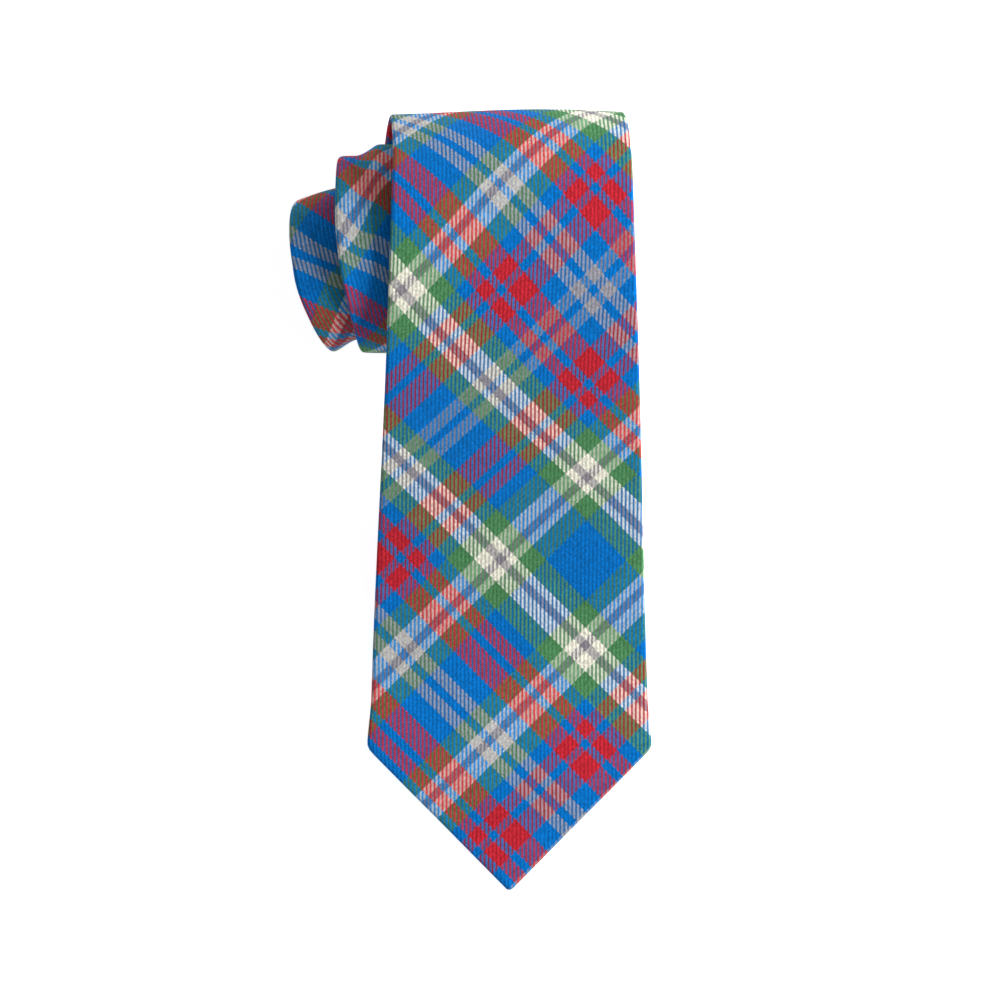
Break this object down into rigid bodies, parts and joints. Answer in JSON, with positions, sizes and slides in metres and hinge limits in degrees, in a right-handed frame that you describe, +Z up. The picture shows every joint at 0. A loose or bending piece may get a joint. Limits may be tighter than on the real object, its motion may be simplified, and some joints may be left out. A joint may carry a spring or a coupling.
{
  "type": "necktie",
  "caption": "Checked twill necktie, folded in half and rolled, with its pointed front blade laid out flat and its inner turns slid out to one side.",
  "frame": {"origin": "centre of the part's footprint, on the table it lies on", "axes": "+X across the blade to the right, +Y from the front blade's point towards the roll, +Z up"},
  "size_m": [0.0966, 0.208, 0.048],
  "materials": {
    "tartan_twill": "soft brushed 2/2 twill, blue, red, green, cream and grey check",
    "interlining_wool": "brushed wool blend felt",
    "tipping_satin": "fine satin lining",
    "sewing_thread": "spun polyester thread",
    "woven_label": "blank damask label",
    "care_tape": "blank satin tape"
  },
  "bodies": {
    "roll": {"front_shell_rolled": "tartan_twill", "neck_shell": "tartan_twill", "tail_shell_rolled": "tartan_twill", "tail_shell": "tartan_twill", "interlining_rolled": "interlining_wool", "tail_interlining": "interlining_wool", "tail_tipping": "tipping_satin", "slip_stitch": "sewing_thread", "tail_bar_tack": "sewing_thread"},
    "front_blade": {"front_shell": "tartan_twill", "front_interlining": "interlining_wool", "front_tipping": "tipping_satin", "front_slip_stitch": "sewing_thread", "front_bar_tack": "sewing_thread", "keeper_loop": "tartan_twill", "keeper_tacks": "sewing_thread", "label": "woven_label", "label_tacks": "sewing_thread", "size_tag": "care_tape", "size_tag_tack": "sewing_thread", "spare_thread_loop": "sewing_thread"}
  },
  "joints": [
    {"name": "front_blade_lift", "type": "hinge", "parent": "roll", "child": "front_blade", "pos_m": [0, 0.0335, 0.03934], "axis": [-1, 0, 0], "range_deg": [0, 60]}
  ]
}
